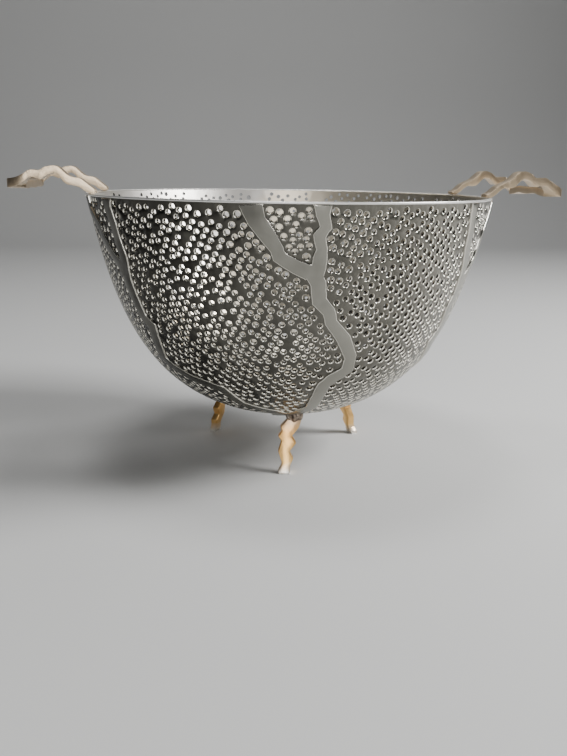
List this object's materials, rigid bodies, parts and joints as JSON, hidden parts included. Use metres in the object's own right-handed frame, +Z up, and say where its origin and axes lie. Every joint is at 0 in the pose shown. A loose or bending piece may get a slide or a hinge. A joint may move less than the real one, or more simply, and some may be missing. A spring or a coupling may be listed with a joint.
{
  "type": "perforated footed bowl",
  "caption": "Deep perforated metal bowl with raised crack bands, wavy loop handles on the rim and jagged splayed feet.",
  "frame": {"origin": "on the bowl's axis, on the surface that the feet stand on", "axes": "+Z up along the bowl's axis, +X through the middle of one handle, and the front foot and the forked crack lie towards -Y"},
  "size_m": [0.373, 0.2822, 0.2049],
  "materials": {
    "bowl_metal": "polished, softly uneven, perforated all over between smooth bands",
    "bar_metal": "satin faces with bright rounded edges, darkened at the welds"
  },
  "bodies": {
    "root": {"bowl": "bowl_metal", "handle_right": "bar_metal", "handle_left": "bar_metal", "foot_front": "bar_metal", "foot_back_right": "bar_metal", "foot_back_left": "bar_metal"}
  },
  "joints": []
}
